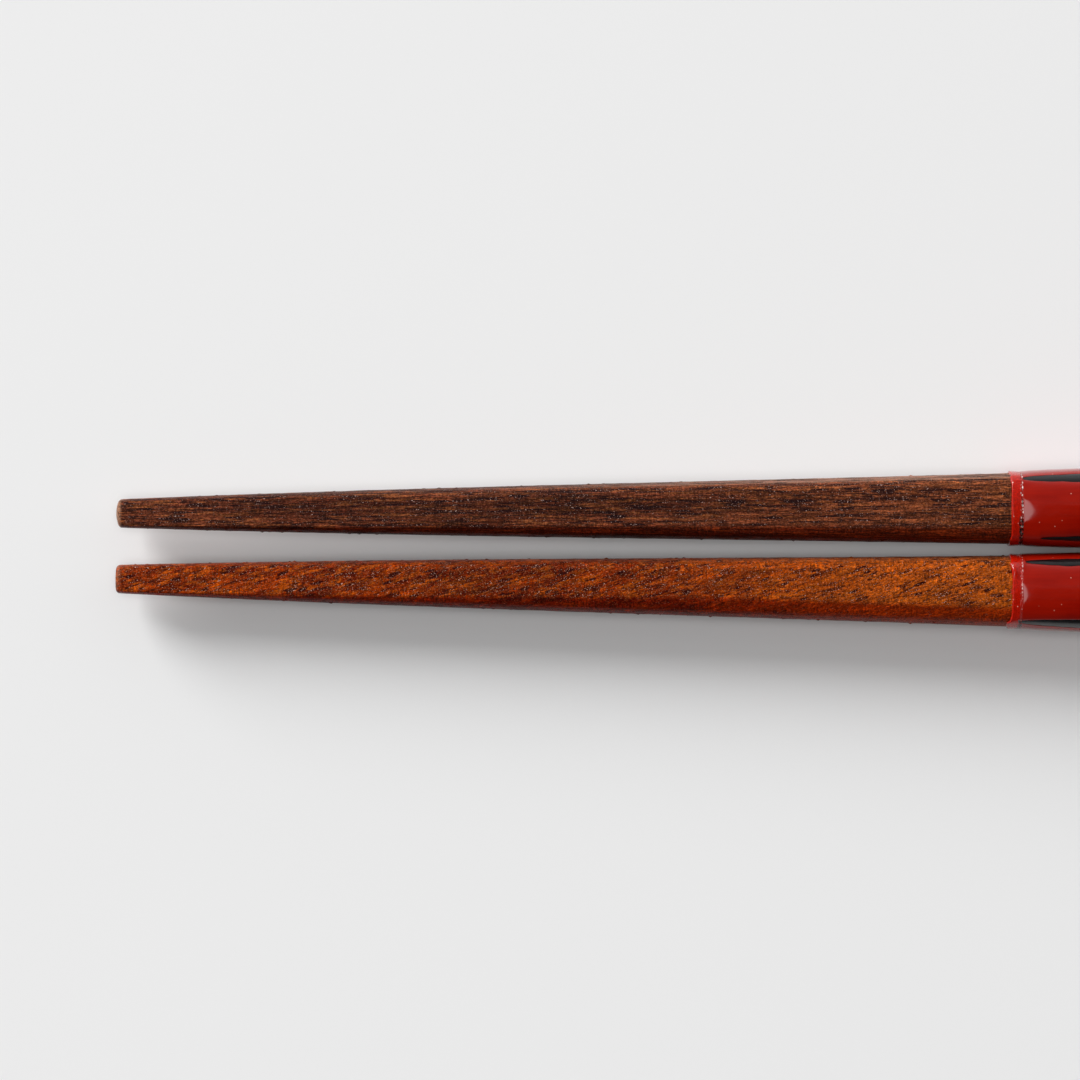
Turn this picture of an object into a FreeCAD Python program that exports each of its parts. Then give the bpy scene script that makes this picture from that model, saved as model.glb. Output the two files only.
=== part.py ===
import FreeCAD, Part
import Sketcher
import math
import os

# A pair of wooden chopsticks: two tapered hardwood sticks whose handles carry a black
# lacquer undercoat and a red topcoat, rubbed through to the black along the corners.
# Millimetres, +Z up. Each stick is drawn in its own frame, with the middle of its tip at
# the origin and +X running back to the butt, and then laid on the floor beside the other.

os.makedirs("parts", exist_ok=True)
doc = FreeCAD.newDocument("chopsticks")

# Driving dimensions: alias, value and what it measures. Widths are across opposite faces.
SIZES = [
    ("stick_length", 225.0, "tip to butt"),
    ("bare_length", 89.4, "tip to the front edge of the lacquer"),
    ("tip_width", 2.85, "wood at the tip"),
    ("front_width", 4.6, "wood a third of the way along the bare part"),
    ("middle_width", 5.85, "wood two thirds of the way along the bare part"),
    ("neck_width", 7.1, "wood at the front edge of the lacquer"),
    ("shoulder_run", 6.9, "from that edge back to the shoulder, where the handle straightens"),
    ("shoulder_width", 7.5, "wood at the shoulder"),
    ("butt_width", 8.7, "wood at the butt"),
    ("face_roundness", 2.1, "radius of a belly across a face, in half-widths of the wood"),
    ("tip_corner", 0.5, "radius of the four corners at the tip"),
    ("neck_corner", 1.05, "radius of the wood's corners at the front edge of the lacquer"),
    ("butt_corner", 1.2, "radius of the wood's corners at the butt"),
    ("tip_rounding", 0.35, "rounding round the tip's end"),
    ("butt_rounding", 0.35, "rounding round the wood's butt, under the coats"),
    ("black_coat", 0.1, "thickness of the black undercoat"),
    ("red_coat", 0.15, "thickness of the red topcoat on the handle"),
    ("lip_height", 0.22, "front edge of the red, above the wood"),
    ("bead_height", 0.28, "crest of the raised red bead, above the wood"),
    ("bead_length", 1.1, "front edge of the red to the groove behind the bead"),
    ("groove_coat", 0.08, "thickness of the red in that groove"),
    ("black_setback", 0.35, "the black starts this far behind the red's front edge"),
    ("wear_run", 4.5, "length over which a worn strip comes to a point"),
    ("wear_end", 2.0, "worn strips end this far before the butt"),
    ("grip_gap", 0.4, "between the two handles at their shoulders"),
    ("butt_gap", 1.65, "between the two butts"),
]

# Where the red is rubbed through along the four corners of each handle. The angle is seen
# from the tip, from +Y round to +Z, and the start is measured back from the groove.
WEAR = {
    "dark": [
        ("upper_left", 45, 0.3, 1.1),
        ("upper_right", 135, 2.3, 0.6),
        ("lower_right", 225, 3.1, 0.75),
        ("lower_left", 315, 1.2, 0.9),
    ],
    "amber": [
        ("upper_left", 45, 0.8, 0.9),
        ("upper_right", 135, 0.2, 1.15),
        ("lower_right", 225, 1.6, 0.9),
        ("lower_left", 315, 2.6, 0.7),
    ],
}

sheet = doc.addObject("Spreadsheet::Sheet", "Sizes")
row_count = 0


def add_size(alias, number, meaning):
    """Write one size in the sheet's next row: its meaning, its plain number and its alias."""
    global row_count
    row_count += 1
    sheet.set(f"A{row_count}", meaning)
    sheet.set(f"B{row_count}", str(number))
    sheet.setAlias(f"B{row_count}", alias)


for alias, number, meaning in SIZES:
    add_size(alias, number, meaning)
for stick, strips in WEAR.items():
    for corner, turn, start, width in strips:
        add_size(f"{stick}_{corner}_start", start, "start of that corner's wear")
        add_size(f"{stick}_{corner}_wear", width, "width of that corner's wear")
doc.recompute()


def value(expression):
    """The number that an expression of the sheet's sizes gives now."""
    return float(sheet.evalExpression(expression))


def origin_plane(body, role):
    """One of a body's own three origin planes."""
    return next(item for item in body.Origin.OriginFeatures if item.Role == role)


def bind(sketch, constraint, name, expression):
    """Add a dimension to a sketch and tie it to the sheet."""
    index = sketch.addConstraint(constraint)
    sketch.renameConstraint(index, name)
    sketch.setExpression(f"Constraints.{name}", expression)


# The wood's half-width and corner radius where a section is drawn.
SHOULDER_AT = "(Sizes.bare_length + Sizes.shoulder_run)"
GROOVE_AT = "(Sizes.bare_length + Sizes.bead_length)"
COATS = "(Sizes.black_coat + Sizes.red_coat)"
TIP_ROUNDING = "min(Sizes.tip_rounding; Sizes.tip_corner)"


def behind_neck(distance):
    """Station, wood half-width and corner radius a distance behind the lacquer's front edge."""
    share = f"({distance}) / Sizes.shoulder_run"
    half = f"(Sizes.neck_width + (Sizes.shoulder_width - Sizes.neck_width) * {share}) / 2"
    return f"Sizes.bare_length + {distance}", half, "Sizes.neck_corner"


def along_bare(third, width):
    """The same for a section that lies so many thirds along the bare part."""
    station = f"Sizes.bare_length * {third} / 3"
    corner = f"Sizes.tip_corner + (Sizes.neck_corner - Sizes.tip_corner) * {third} / 3"
    return station, f"Sizes.{width} / 2", corner


def at_butt():
    """The same where the rounding of the butt begins, which every coat follows."""
    station = f"Sizes.stick_length - {COATS} - Sizes.butt_rounding"
    return station, "Sizes.butt_width / 2", "Sizes.butt_corner"


def section(body, name, place, coat="0"):
    """A square with bellied faces and round corners, grown by a coat's thickness.

    A face arc of radius R has its centre R - half behind the axis. A corner arc of radius
    r lies inside both of its face arcs and touches them, so its centre is (c, c) with
    (c + R - half)^2 + c^2 = (R - r)^2.
    """
    station, wood_half, wood_corner = place
    half_size = f"({wood_half}) + {coat}"
    face_size = f"Sizes.face_roundness * ({wood_half}) + {coat}"
    corner_size = f"({wood_corner}) + {coat}"
    half = value(half_size)
    face = value(face_size)
    corner = value(corner_size)
    back = face - half
    inner = face - corner
    centre = (math.sqrt(2 * inner**2 - back**2) - back) / 2
    spread = math.atan2(centre, centre + back)

    sketch = body.newObject("Sketcher::SketchObject", name)
    sketch.AttachmentSupport = (origin_plane(body, "YZ_Plane"), [""])
    sketch.MapMode = "FlatFace"
    sketch.setExpression("AttachmentOffset.Base.z", station)
    normal = FreeCAD.Vector(0, 0, 1)
    outline = []
    for quarter in range(4):
        turn = quarter * math.pi / 2
        middle = FreeCAD.Vector(-back * math.cos(turn), -back * math.sin(turn), 0)
        arc = Part.ArcOfCircle(Part.Circle(middle, normal, face), turn - spread, turn + spread)
        outline.append(sketch.addGeometry(arc, False))
        slant = turn + math.pi / 4
        reach = centre * math.sqrt(2)
        middle = FreeCAD.Vector(reach * math.cos(slant), reach * math.sin(slant), 0)
        ends = (turn + spread, turn + math.pi / 2 - spread)
        arc = Part.ArcOfCircle(Part.Circle(middle, normal, corner), *ends)
        outline.append(sketch.addGeometry(arc, False))
    ring = sketch.addGeometry(Part.Circle(FreeCAD.Vector(0, 0, 0), normal, back), True)

    rules = [Sketcher.Constraint("Coincident", ring, 3, -1, 1)]
    for index, arc in enumerate(outline):
        after = outline[(index + 1) % len(outline)]
        rules.append(Sketcher.Constraint("Tangent", arc, 2, after, 1))
    for quarter, arc in enumerate(outline[0::2]):
        axis = -1 if quarter % 2 == 0 else -2
        rules.append(Sketcher.Constraint("PointOnObject", arc, 3, axis))
        rules.append(Sketcher.Constraint("PointOnObject", arc, 3, ring))
    for index, arc in enumerate(outline[2:], start=2):
        rules.append(Sketcher.Constraint("Equal", outline[index % 2], arc))
    sketch.addConstraint(rules)
    bind(sketch, Sketcher.Constraint("Radius", ring, back), "face_centre",
         f"{face_size} - ({half_size})")
    bind(sketch, Sketcher.Constraint("Radius", outline[0], face), "face_radius", face_size)
    bind(sketch, Sketcher.Constraint("Radius", outline[1], corner), "corner_radius", corner_size)
    return sketch


def loft(body, name, sections, ruled):
    """Solid through the sections, straight from one to the next or smooth through all."""
    feature = body.newObject("PartDesign::AdditiveLoft", name)
    feature.Profile = sections[0]
    feature.Sections = sections[1:]
    feature.Ruled = ruled
    return feature


def rounded_end(body, name, full, place, coat, rounding, toward):
    """Round off an end of the stick beyond its last full section.

    The outline draws in along a quarter circle: at 45 degrees it has gone the sine of 45
    degrees outward and has drawn in by 1 less its cosine. toward is 1 at the butt, -1 at
    the tip.
    """
    station, wood_half, wood_corner = place
    out = f"{rounding} * sin(45)"
    shallow = f"{coat} - {rounding} * (1 - cos(45))"
    bend = section(body, f"{name}_bend", (f"{station} + {toward} * {out}", wood_half, wood_corner),
                   shallow)
    face = section(body, f"{name}_face",
                   (f"{station} + {toward} * {rounding}", wood_half, wood_corner),
                   f"{coat} - {rounding}")
    return loft(body, f"{name}_rounding", [full, bend, face], ruled=False)


def make_wood(stick):
    """The stick itself, one piece of hardwood from the tip to the butt."""
    body = doc.addObject("PartDesign::Body", f"{stick}_wood")
    tip_place = (TIP_ROUNDING, "Sizes.tip_width / 2", "Sizes.tip_corner")
    tip = section(body, f"{stick}_tip", tip_place)
    front = section(body, f"{stick}_front", along_bare(1, "front_width"))
    middle = section(body, f"{stick}_middle", along_bare(2, "middle_width"))
    neck = section(body, f"{stick}_neck", along_bare(3, "neck_width"))
    shoulder = section(body, f"{stick}_shoulder", behind_neck("Sizes.shoulder_run"))
    butt = section(body, f"{stick}_butt", at_butt())
    rounded_end(body, f"{stick}_tip_end", tip, tip_place, "0", TIP_ROUNDING, -1)
    loft(body, f"{stick}_bare_part", [tip, front, middle, neck], ruled=False)
    loft(body, f"{stick}_handle_part", [neck, shoulder, butt], ruled=True)
    rounded_end(body, f"{stick}_butt_end", butt, at_butt(), "0", "Sizes.butt_rounding", 1)
    return body


def make_black_form(stick):
    """The handle as it is after the black undercoat, before the red."""
    coat = "Sizes.black_coat"
    body = doc.addObject("PartDesign::Body", f"{stick}_black_form")
    start = section(body, f"{stick}_black_start", behind_neck("Sizes.black_setback"), coat)
    shoulder = section(body, f"{stick}_black_shoulder", behind_neck("Sizes.shoulder_run"), coat)
    butt = section(body, f"{stick}_black_butt", at_butt(), coat)
    loft(body, f"{stick}_black_handle", [start, shoulder, butt], ruled=True)
    rounded_end(body, f"{stick}_black_end", butt, at_butt(), coat,
                f"(Sizes.butt_rounding + {coat})", 1)
    return body


def make_red_form(stick):
    """The handle as it is after the red topcoat, with the bead along its front edge."""
    body = doc.addObject("PartDesign::Body", f"{stick}_red_form")
    lip = section(body, f"{stick}_lip", behind_neck("0"), "Sizes.lip_height")
    bead = section(body, f"{stick}_bead", behind_neck("Sizes.bead_length / 2"), "Sizes.bead_height")
    groove = section(body, f"{stick}_groove", behind_neck("Sizes.bead_length"),
                     "Sizes.black_coat + Sizes.groove_coat")
    shoulder = section(body, f"{stick}_red_shoulder", behind_neck("Sizes.shoulder_run"), COATS)
    butt = section(body, f"{stick}_red_butt", at_butt(), COATS)
    loft(body, f"{stick}_bead_part", [lip, bead, groove], ruled=False)
    loft(body, f"{stick}_red_handle", [groove, shoulder, butt], ruled=True)
    rounded_end(body, f"{stick}_red_end", butt, at_butt(), COATS,
                f"(Sizes.butt_rounding + {COATS})", 1)
    return body


def worn_strip(body, stick, corner, turn):
    """A long strip with pointed ends, standing out through one corner of the handle."""
    name = f"{stick}_{corner}"
    start = f"{GROOVE_AT} + Sizes.{name}_start"
    end = "Sizes.stick_length - Sizes.wear_end"
    width = f"Sizes.{name}_wear"
    depth = "Sizes.neck_width / 2"

    sketch = body.newObject("Sketcher::SketchObject", f"{name}_outline")
    sketch.AttachmentSupport = (origin_plane(body, "XY_Plane"), [""])
    sketch.MapMode = "FlatFace"
    upright = FreeCAD.Rotation(FreeCAD.Vector(1, 0, 0), turn - 90)
    sketch.AttachmentOffset = FreeCAD.Placement(FreeCAD.Vector(0, 0, 0), upright)
    sketch.setExpression("AttachmentOffset.Base.y", f"{depth} * cos({turn})")
    sketch.setExpression("AttachmentOffset.Base.z", f"{depth} * sin({turn})")

    first = value(start)
    last = value(end)
    run = value("Sizes.wear_run")
    side = value(width) / 2
    points = [
        (first, 0),
        (first + run, -side),
        (last - run, -side),
        (last, 0),
        (last - run, side),
        (first + run, side),
    ]
    corners = [FreeCAD.Vector(along, across, 0) for along, across in points]
    lines = []
    for index, corner_point in enumerate(corners):
        after = corners[(index + 1) % len(corners)]
        lines.append(sketch.addGeometry(Part.LineSegment(corner_point, after), False))
    rules = []
    for index, line in enumerate(lines):
        rules.append(Sketcher.Constraint("Coincident", line, 2, lines[(index + 1) % 6], 1))
    rules.append(Sketcher.Constraint("PointOnObject", lines[0], 1, -1))
    rules.append(Sketcher.Constraint("PointOnObject", lines[3], 1, -1))
    rules.append(Sketcher.Constraint("Symmetric", lines[1], 1, lines[5], 1, -1))
    rules.append(Sketcher.Constraint("Symmetric", lines[2], 1, lines[4], 1, -1))
    sketch.addConstraint(rules)
    bind(sketch, Sketcher.Constraint("DistanceX", -1, 1, lines[0], 1, first), "start", start)
    bind(sketch, Sketcher.Constraint("DistanceX", -1, 1, lines[3], 1, last), "end", end)
    bind(sketch, Sketcher.Constraint("DistanceX", lines[0], 1, lines[1], 1, run), "front_run",
         "Sizes.wear_run")
    bind(sketch, Sketcher.Constraint("DistanceX", lines[2], 1, lines[3], 1, run), "back_run",
         "Sizes.wear_run")
    bind(sketch, Sketcher.Constraint("DistanceY", lines[1], 1, lines[5], 1, 2 * side),
         "front_width", width)
    bind(sketch, Sketcher.Constraint("DistanceY", lines[2], 1, lines[4], 1, 2 * side),
         "back_width", width)

    pad = body.newObject("PartDesign::Pad", f"{name}_strip")
    pad.Profile = sketch
    pad.setExpression("Length", "Sizes.butt_width")
    return pad


def make_wear_form(stick):
    """Everything that lies over the four worn strips of a handle."""
    body = doc.addObject("PartDesign::Body", f"{stick}_wear_form")
    body.AllowCompound = True
    for corner, turn, start, width in WEAR[stick]:
        worn_strip(body, stick, corner, turn)
    return body


def lay_down(body, side):
    """Lay a stick on the lower face of its handle, beside the other one.

    side is 1 for the stick at +Y and -1 for the other. The lean brings the handle's lower
    face level, so the tip stands clear of the floor. The splay opens the gap between the
    handles from the shoulder to the butt.
    """
    grip_run = f"(Sizes.stick_length - {SHOULDER_AT})"
    flare = "(Sizes.butt_width - Sizes.shoulder_width)"
    lean = f"atan({flare} / 2 / {grip_run})"
    splay = f"atan(({flare} + Sizes.butt_gap - Sizes.grip_gap) / 2 / {grip_run})"
    shoulder_half = f"(Sizes.shoulder_width / 2 + {COATS})"
    along = f"-Sizes.stick_length / 2 * cos({lean}) * cos({splay})"
    across = f"({shoulder_half} + Sizes.grip_gap / 2 - {SHOULDER_AT} * cos({lean}) * sin({splay}))"
    up = f"{shoulder_half} * cos({lean}) - {SHOULDER_AT} * sin({lean})"
    body.setExpression(
        "Placement",
        f"placement(vector({along}; {side} * {across}; {up}); "
        f"rotation({side} * {splay}; -{lean}; 0))",
    )


def boolean(kind, name, base, tool):
    """Cut, Fuse or Common of two shapes."""
    feature = doc.addObject(f"Part::{kind}", name)
    feature.Base = base
    feature.Tool = tool
    return feature


def make_stick(stick, side):
    """One lacquered stick: its wood, its black undercoat and its red topcoat."""
    wood = make_wood(stick)
    black_form = make_black_form(stick)
    red_form = make_red_form(stick)
    wear_form = make_wear_form(stick)
    for body in (wood, black_form, red_form, wear_form):
        lay_down(body, side)
    worn = boolean("Common", f"{stick}_worn_corners", red_form, wear_form)
    covered = boolean("Fuse", f"{stick}_covered_handle", black_form, worn)
    black = boolean("Cut", f"{stick}_undercoat", covered, wood)
    unworn = boolean("Cut", f"{stick}_unworn_red", red_form, covered)
    red = boolean("Cut", f"{stick}_topcoat", unworn, wood)
    wood.Label = f"{stick}_stick_wood"
    black.Label = f"{stick}_stick_black_undercoat"
    red.Label = f"{stick}_stick_red_lacquer"
    return [wood, black, red]


pieces = make_stick("dark", 1) + make_stick("amber", -1)
doc.recompute()

for item in doc.Objects:
    for word in ("Invalid", "Error"):
        if word in item.State:
            raise RuntimeError(f"{item.Name} is {word}")
for piece in pieces:
    shape = piece.Shape
    if shape.isNull() or not shape.isValid() or len(shape.Solids) != 1:
        raise RuntimeError(f"{piece.Label} is not one valid solid")
    if shape.Volume <= 0:
        raise RuntimeError(f"{piece.Label} has no volume")
for piece in pieces:
    piece.Shape.exportStep(f"parts/{piece.Label}.step")
    print(f"{piece.Label}: {piece.Shape.Volume:.1f} mm3, {piece.Shape.BoundBox}")
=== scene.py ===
import bmesh
import bpy
import numpy as np
from mathutils import Matrix, Vector


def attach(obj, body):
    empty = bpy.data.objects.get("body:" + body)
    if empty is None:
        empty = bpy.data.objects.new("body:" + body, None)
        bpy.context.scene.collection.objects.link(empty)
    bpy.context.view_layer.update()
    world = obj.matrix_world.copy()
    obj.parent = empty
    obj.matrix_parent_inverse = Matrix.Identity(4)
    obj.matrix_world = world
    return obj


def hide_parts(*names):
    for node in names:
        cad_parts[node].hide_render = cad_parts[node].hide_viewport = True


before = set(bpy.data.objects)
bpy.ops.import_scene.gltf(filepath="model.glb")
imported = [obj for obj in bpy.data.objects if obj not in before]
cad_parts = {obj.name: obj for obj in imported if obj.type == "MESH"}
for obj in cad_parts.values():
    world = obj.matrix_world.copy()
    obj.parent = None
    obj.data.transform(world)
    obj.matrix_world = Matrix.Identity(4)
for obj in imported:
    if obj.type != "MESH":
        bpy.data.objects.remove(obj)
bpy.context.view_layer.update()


# The wood of the two sticks, one dark and straight-grained, one amber with pores at a slant.
# Each is one piece, planed to a tapered square and wiped with clear lacquer, its pores left open.
# Lengths are in millimetres, and stations count from the tip, until lay_down takes all to metres.

STICK_LENGTH = 225.0
BARE_LENGTH = 89.4
SHOULDER_RUN = 6.9
SHOULDER_AT = BARE_LENGTH + SHOULDER_RUN
BARE_WIDTHS = np.array([2.85, 4.6, 5.85, 7.1])
SHOULDER_WIDTH = 7.5
BUTT_WIDTH = 8.7
FACE_ROUNDNESS = 2.1
TIP_CORNER = 0.5
NECK_CORNER = 1.05
BUTT_CORNER = 1.2
TIP_ROUNDING = 0.35
BUTT_ROUNDING = 0.35
BLACK_COAT = 0.1
RED_COAT = 0.15
COATS = BLACK_COAT + RED_COAT
BUTT_AT = STICK_LENGTH - COATS - BUTT_ROUNDING
GRIP_GAP = 0.4
BUTT_GAP = 1.65
SIDE = {"dark": 1, "amber": -1}


def wood_size(station):
    """Half-width, corner radius and face radius of the wood at stations along the stick.

    On the bare part the width is the cubic through its four widths, which stand a third of
    the part apart. Behind it the width and the corner run straight to the shoulder and on
    to the butt. A face's radius is FACE_ROUNDNESS half-widths.
    """
    marks = np.array([TIP_ROUNDING, BARE_LENGTH / 3, BARE_LENGTH * 2 / 3, BARE_LENGTH])
    cubic = np.polyfit(marks, BARE_WIDTHS, 3)
    handle = np.interp(station, [BARE_LENGTH, SHOULDER_AT, BUTT_AT],
                       [BARE_WIDTHS[-1], SHOULDER_WIDTH, BUTT_WIDTH])
    width = np.where(station < BARE_LENGTH, np.polyval(cubic, station), handle)
    corner = np.interp(station, [0, BARE_LENGTH, SHOULDER_AT, BUTT_AT],
                       [TIP_CORNER, NECK_CORNER, NECK_CORNER, BUTT_CORNER])
    return width / 2, corner, FACE_ROUNDNESS * width / 2


def side_length(station):
    """Length of one side of the section, from the crest of one corner to the next."""
    half, corner, face = wood_size(station)
    spread = face_spread(half, corner, face)[1]
    return 2 * corner * (np.pi / 4 - spread) + 2 * face * spread


def face_spread(half, corner, face):
    """Place of a corner arc's centre on both axes, and half the angle of a face arc.

    The corner arc lies inside both face arcs and touches them, so its centre (c, c) is
    face - corner away from a face arc's centre, which stands face - half behind the axis.
    """
    back = face - half
    middle = (np.sqrt(2 * (face - corner)**2 - back**2) - back) / 2
    return middle, np.arctan2(middle, middle + back)


def ring(station, side, run):
    """Points of the wood's outline and their outward angles, on one of its four sides.

    side 0 faces +Y, and the sides go round towards +Z. run is how far a point lies along
    the side from the crest where it starts: first half a corner arc, then the face arc,
    then half a corner arc. Rows are stations and columns are points.
    """
    half, corner, face = (value[:, None] for value in wood_size(station))
    middle, spread = face_spread(half, corner, face)
    bend = corner * (np.pi / 4 - spread)
    belly = 2 * face * spread
    first = run < bend
    last = run > bend + belly
    angle = np.where(first, run / corner - np.pi / 4, (run - bend) / face - spread)
    angle = np.where(last, (run - bend - belly) / corner + spread, angle)
    radius = np.where(first | last, corner, face)
    out = np.where(first | last, middle, half - face) + radius * np.cos(angle)
    over = np.where(last, middle, 0) - np.where(first, middle, 0) + radius * np.sin(angle)
    turn = side * np.pi / 2
    y = out * np.cos(turn) - over * np.sin(turn)
    z = out * np.sin(turn) + over * np.cos(turn)
    return y, z, angle + turn


def whole_ring(station, columns):
    """Points and outward angles all the way round, with so many columns on each side."""
    share = np.arange(columns) / columns
    run = side_length(station)[:, None] * share
    parts = [ring(station, side, run) for side in range(4)]
    return [np.hstack(values) for values in zip(*parts)]


def skin(station, y, z, angle, height):
    """Points that stand a height above the wood along its outward normal."""
    points = np.empty(y.shape + (3,))
    points[..., 0] = np.broadcast_to(np.reshape(station, (len(y), -1)), y.shape)
    points[..., 1] = y + height * np.cos(angle)
    points[..., 2] = z + height * np.sin(angle)
    return points


def lay_down(points, stick):
    """Lay a stick on the lower face of its handle, beside the other, in metres.

    The lean is the angle whose tangent is the handle's flare over its straight run, so that
    the lower face comes level. The splay opens the gap between the two handles from
    GRIP_GAP at the shoulder to BUTT_GAP at the butt.
    """
    flare = (BUTT_WIDTH - SHOULDER_WIDTH) / 2
    straight = STICK_LENGTH - SHOULDER_AT
    lean = np.arctan(flare / straight)
    splay = np.arctan((flare + (BUTT_GAP - GRIP_GAP) / 2) / straight)
    half = SHOULDER_WIDTH / 2 + COATS
    place = Vector((
        -STICK_LENGTH / 2 * np.cos(lean) * np.cos(splay),
        SIDE[stick] * (half + GRIP_GAP / 2 - SHOULDER_AT * np.cos(lean) * np.sin(splay)),
        half * np.cos(lean) - SHOULDER_AT * np.sin(lean),
    ))
    turn = Matrix.Rotation(SIDE[stick] * splay, 3, "Z") @ Matrix.Rotation(-lean, 3, "Y")
    return (points @ np.array(turn).T + np.array(place)) / 1000


def random_field(seed, shape, lengths, sizes):
    """Smooth random heights over a grid, with a mean square of one.

    White noise is blurred by a Gaussian in each direction. lengths are the grid's real
    lengths and sizes the pattern's, both along and around, in the same unit.
    """
    white = np.random.default_rng(seed).standard_normal(shape)
    spectrum = np.fft.fft2(white)
    for axis, (length, size) in enumerate(zip(lengths, sizes)):
        waves = np.fft.fftfreq(shape[axis]) * shape[axis] / length
        damping = np.exp(-2 * (waves * size)**2)
        spectrum *= damping[:, None] if axis == 0 else damping
    field = np.real(np.fft.ifft2(spectrum))
    return field / field.std()


def grid_faces(rows, columns, closed):
    """Quads over a grid of points that is closed round its columns or open there."""
    index = np.arange(rows * columns).reshape(rows, columns)
    after = np.roll(index, -1, axis=1)
    if not closed:
        index, after = index[:, :-1], index[:, 1:]
    return np.stack([index[:-1], index[1:], after[1:], after[:-1]], axis=-1).reshape(-1, 4)


def make_piece(name, stick, points, faces, merge, **shares):
    """A mesh object in metres, smooth, that keeps each point's place in the stick's own frame.

    That place, in millimetres along, across and up the stick, is the attribute stick_mm.
    shares are further attributes, one value for each point. Points closer than merge, in
    millimetres, become one.
    """
    mesh = bpy.data.meshes.new(name)
    points = points.reshape(-1, 3)
    mesh.from_pydata(lay_down(points, stick), [], faces)
    places = mesh.attributes.new("stick_mm", "FLOAT_VECTOR", "POINT")
    places.data.foreach_set("vector", points.astype(np.float32).ravel())
    for share, values in shares.items():
        attribute = mesh.attributes.new(share, "FLOAT", "POINT")
        attribute.data.foreach_set("value", values.astype(np.float32).ravel())
    work = bmesh.new()
    work.from_mesh(mesh)
    bmesh.ops.remove_doubles(work, verts=work.verts, dist=merge / 1000)
    bmesh.ops.dissolve_degenerate(work, edges=work.edges, dist=merge / 10000)
    bmesh.ops.recalc_face_normals(work, faces=work.faces)
    work.to_mesh(mesh)
    work.free()
    mesh.shade_smooth()
    mesh.validate()
    piece = bpy.data.objects.new(name, mesh)
    bpy.context.collection.objects.link(piece)
    return piece


def colour(hex_value, alpha=1.0):
    """A linear colour from an sRGB hex value."""
    shares = np.array([int(hex_value[i:i + 2], 16) for i in (1, 3, 5)]) / 255
    linear = np.where(shares <= 0.04045, shares / 12.92, ((shares + 0.055) / 1.055)**2.4)
    return (*linear, alpha)


def add(tree, kind, inputs=None, **settings):
    """Add a node with its settings, and link or set its inputs."""
    node = tree.nodes.new(kind)
    for name, setting in settings.items():
        setattr(node, name, setting)
    for key, source in (inputs or {}).items():
        if isinstance(source, bpy.types.NodeSocket):
            tree.links.new(source, node.inputs[key])
        else:
            node.inputs[key].default_value = source
    return node


def stretched(tree, sizes, slant=0.0):
    """Stick coordinates in which a pattern's sizes along, across and up, in mm, are one unit.

    They are turned by a slant, in degrees, as seen from above.
    """
    place = add(tree, "ShaderNodeAttribute", attribute_name="stick_mm")
    turned = add(tree, "ShaderNodeMapping", {
        "Vector": place.outputs["Vector"],
        "Rotation": (0, 0, np.radians(slant)),
    })
    scale = tuple(1 / size for size in sizes)
    return add(tree, "ShaderNodeMapping", {"Vector": turned.outputs[0], "Scale": scale}).outputs[0]


def between(tree, value, low, high):
    """How far a value has gone from low to high, eased at both ends, from 0 to 1."""
    return add(tree, "ShaderNodeMapRange", {"Value": value, "From Min": low, "From Max": high},
               interpolation_type="SMOOTHSTEP").outputs[0]


def blend(tree, share, first, second, kind="MIX"):
    """Mix two colours by a share."""
    return add(tree, "ShaderNodeMix", {0: share, 6: first, 7: second}, data_type="RGBA",
               blend_type=kind).outputs[2]


def maths(tree, operation, first, second=0.0):
    """One sum of two values."""
    return add(tree, "ShaderNodeMath", {0: first, 1: second}, operation=operation).outputs[0]


def ramp(value, start, full):
    """How far a value has gone from start to full, from 0 to 1."""
    return np.clip((value - start) / (full - start), 0, 1)


WOOD_STEP = 0.25
WOOD_COLUMNS = 40
HIDDEN_STEP = 3.0
UNDER_BEAD = 0.2
CAP_RINGS = 5
RIM_POINTS = 7
FLATNESS = 0.9
FLAT_END = 0.92
FLAT_FADE = 6.0
FLAT_AT_BEAD = 0.4
SMOOTH_BLEND = 0.16
TEXTURE_START = 1.0
FIBRE_RELIEF = 0.008
FIBRE_SIZES = (1.3, 0.10)
NIB_HEIGHT = 0.10
NIB_SIZES = (0.2, 0.12)
NIB_FROM = 2.3
TIP_WEAR = {"dark": 0.30, "amber": 0.05}
TIP_WEAR_RUN = 0.8
# Where the flats of the upper and lower faces end, in half-widths, at stations along the stick.
FLAT_EDGE_AT = [0, 35, 60, 89]
FAR_FLAT_EDGE = [0.80, 0.62, 0.62, 0.62]
NEAR_FLAT_EDGE = {"dark": [0.80, 0.60, 0.54, 0.54], "amber": [0.80, 0.52, 0.34, 0.46]}


def flat_edge(station, y, stick):
    """Where the planed flat of a face ends, in half-widths from its middle.

    Each stick's near side, at -Y, is planed further in than its far side.
    """
    far = np.interp(station, FLAT_EDGE_AT, FAR_FLAT_EDGE)[:, None]
    near = np.interp(station, FLAT_EDGE_AT, NEAR_FLAT_EDGE[stick])[:, None]
    return np.where(y < 0, near, far)


def planed_flat(station, edge, half, y, z):
    """Height by which the plane left the upper and lower faces flat in their middles.

    The height takes back a part, FLATNESS, of the belly's fall x^2 / (2 FACE_ROUNDNESS) up
    to the flat's edge, and runs out from there to FLAT_END half-widths from the middle. Over
    the last FLAT_FADE millimetres it sinks to FLAT_AT_BEAD of that, so that the bead stands
    above it. The faces at the sides keep their whole belly.
    """
    across = np.abs(y) / half
    run_out = edge**2 * ramp(across, FLAT_END, edge)
    flat = np.where(across < edge, across**2, run_out) * (np.abs(z) > np.abs(y))
    fade = np.interp(station, [BARE_LENGTH - FLAT_FADE, BARE_LENGTH], [1, FLAT_AT_BEAD])[:, None]
    return FLATNESS * fade * half * flat / (2 * FACE_ROUNDNESS)


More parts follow.
